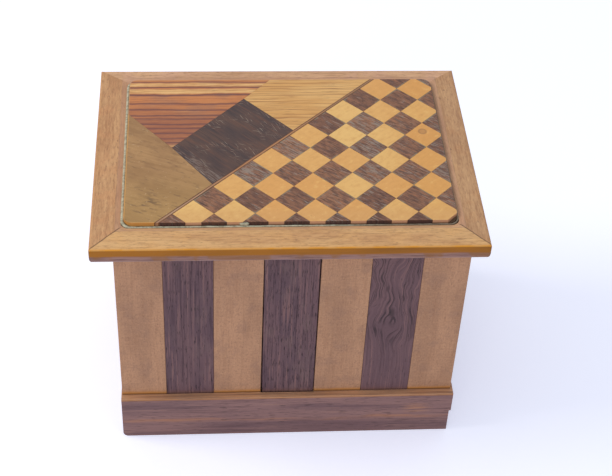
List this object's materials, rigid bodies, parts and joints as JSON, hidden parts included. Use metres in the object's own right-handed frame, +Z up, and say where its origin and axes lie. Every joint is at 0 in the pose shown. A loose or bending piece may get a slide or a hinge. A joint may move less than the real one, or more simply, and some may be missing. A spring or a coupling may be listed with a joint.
{
  "type": "wooden puzzle box",
  "caption": "Small wooden box with a parquetry lid on rear hinges, a striped front of upright staves and a loose middle stave that slides up and works a hidden lock bolt.",
  "frame": {"origin": "centre of the closed box in plan, on the surface it stands on", "axes": "+Z up; +Y towards the hinges; +X to the right seen from the front, along the box's longest side"},
  "size_m": [0.136, 0.1004, 0.1016],
  "materials": {
    "frame_wood": "waxed, worn to a soft sheen",
    "ground_wood": "plain, unpolished",
    "carcass_wood": "plain, unpolished",
    "cover_wood": "plain, planed",
    "plinth_wood": "oiled, worn on its ledge",
    "light_wood": "waxed",
    "dark_wood": "waxed, open pores",
    "striped_veneer": "old polish",
    "pale_veneer": "old polish",
    "dark_veneer": "old polish, scratched",
    "olive_veneer": "old polish",
    "stringing_core": "old polish",
    "stringing_lines": "old polish",
    "light_squares": "old polish",
    "dark_squares": "old polish, worn grey in streaks",
    "brass": "dull, aged"
  },
  "bodies": {
    "case": {"back_stave_1": "light_wood", "back_stave_2": "dark_wood", "back_stave_3": "light_wood", "back_stave_4": "dark_wood", "back_stave_5": "light_wood", "back_stave_6": "dark_wood", "back_stave_7": "light_wood", "back_wall": "carcass_wood", "bottom_board": "carcass_wood", "case_hinge_screws": "brass", "front_stave_1": "light_wood", "front_stave_2": "dark_wood", "front_stave_3": "light_wood", "front_stave_5": "light_wood", "front_stave_6": "dark_wood", "front_stave_7": "light_wood", "front_wall": "carcass_wood", "left_hinge_case_leaf": "brass", "left_hinge_pin": "brass", "left_stave_1": "dark_wood", "left_stave_2": "light_wood", "left_stave_3": "dark_wood", "left_stave_4": "light_wood", "left_stave_5": "dark_wood", "left_wall": "carcass_wood", "lock_cover": "cover_wood", "lock_cover_screws": "brass", "plinth_back": "plinth_wood", "plinth_front": "plinth_wood", "plinth_left": "plinth_wood", "plinth_right": "plinth_wood", "right_hinge_case_leaf": "brass", "right_hinge_pin": "brass", "right_stave_1": "dark_wood", "right_stave_2": "light_wood", "right_stave_3": "dark_wood", "right_stave_4": "light_wood", "right_stave_5": "dark_wood", "right_wall": "carcass_wood"},
    "lid": {"dark_squares": "dark_squares", "dark_veneer": "dark_veneer", "left_hinge_lid_leaf": "brass", "lid_frame_back": "frame_wood", "lid_frame_front": "frame_wood", "lid_frame_left": "frame_wood", "lid_frame_right": "frame_wood", "lid_hinge_screws": "brass", "lid_hook": "brass", "lid_hook_screws": "brass", "lid_panel": "ground_wood", "light_squares": "light_squares", "olive_veneer": "olive_veneer", "pale_veneer": "pale_veneer", "right_hinge_lid_leaf": "brass", "stringing_core": "stringing_core", "stringing_lines": "stringing_lines", "striped_veneer": "striped_veneer"},
    "key": {"key_peg": "brass", "key_stave": "dark_wood"},
    "bolt": {"lock_bolt": "brass"}
  },
  "joints": [
    {"name": "lid_hinge", "type": "hinge", "parent": "case", "child": "lid", "pos_m": [0.0013, 0.0461, 0.0941], "axis": [-1, 0, 0], "range_deg": [0, 105]},
    {"name": "key_slide", "type": "slide", "parent": "case", "child": "key", "axis": [0, 0, 1], "range_m": [0, 0.003]},
    {"name": "bolt_slide", "type": "slide", "parent": "case", "child": "bolt", "axis": [1, 0, 0], "range_m": [0, 0.003]}
  ],
  "couplings": [
    {"joint": "bolt_slide", "follows": "key_slide", "ratio": 1}
  ]
}
